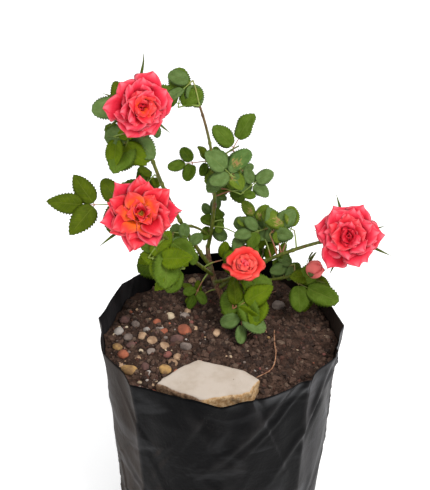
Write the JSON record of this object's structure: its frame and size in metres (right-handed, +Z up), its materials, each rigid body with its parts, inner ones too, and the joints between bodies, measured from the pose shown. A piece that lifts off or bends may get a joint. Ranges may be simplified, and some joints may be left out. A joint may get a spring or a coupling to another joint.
{
  "type": "rose bush in grow bag",
  "caption": "Small rose bush with open coral blooms, growing in a soft black film bag of stony soil with a flat stone on top.",
  "frame": {"origin": "centre of the bag's flat underside, on the surface that it stands on", "axes": "+Z up, -Y the side that the open blooms face, +X to the right seen from that side"},
  "size_m": [0.2482, 0.1884, 0.4074],
  "materials": {
    "bag_film": "thin black film, creased, half gloss with dust",
    "soil": "dry brown crumbs with grit and pebbles",
    "pale_stone": "smooth on top, rough broken edges",
    "bark": "fine brown bark",
    "green_cane": "smooth green bark, reddish in places",
    "leaf": "half gloss leaves with toothed edges",
    "coral_petal": "soft coral petals",
    "salmon_petal": "soft salmon petals"
  },
  "bodies": {
    "root": {"grow_bag": "bag_film", "bag_rim": "bag_film", "flat_stone": "pale_stone", "soil": "soil", "bloom_upper_left": "coral_petal", "bloom_lower_left": "coral_petal", "bloom_right": "coral_petal", "bloom_front": "salmon_petal", "flower_bud": "coral_petal", "main_stem": "bark", "cane_centre": "green_cane", "cane_left": "green_cane", "cane_lower_left": "green_cane", "side_shoot": "green_cane", "cane_right": "green_cane", "stem_front": "green_cane", "stem_bud": "green_cane", "twig_right": "green_cane", "foliage_top_left": "leaf", "foliage_top_right": "leaf", "foliage_left_wing": "leaf", "foliage_left_middle": "leaf", "foliage_left_low": "leaf", "foliage_left_hanging": "leaf", "foliage_left_inner": "leaf", "foliage_centre_left": "leaf", "foliage_centre": "leaf", "foliage_centre_right": "leaf", "foliage_right_sprig": "leaf", "foliage_right": "leaf", "foliage_right_outer": "leaf", "foliage_centre_low": "leaf", "foliage_centre_front": "leaf", "foliage_right_low": "leaf", "foliage_front": "leaf", "foliage_front_low": "leaf", "foliage_bud": "leaf", "foliage_low_left": "leaf", "foliage_back_top": "leaf", "foliage_back_left": "leaf", "foliage_back_centre": "leaf", "foliage_back_right": "leaf", "foliage_back_low_left": "leaf"}
  },
  "joints": []
}
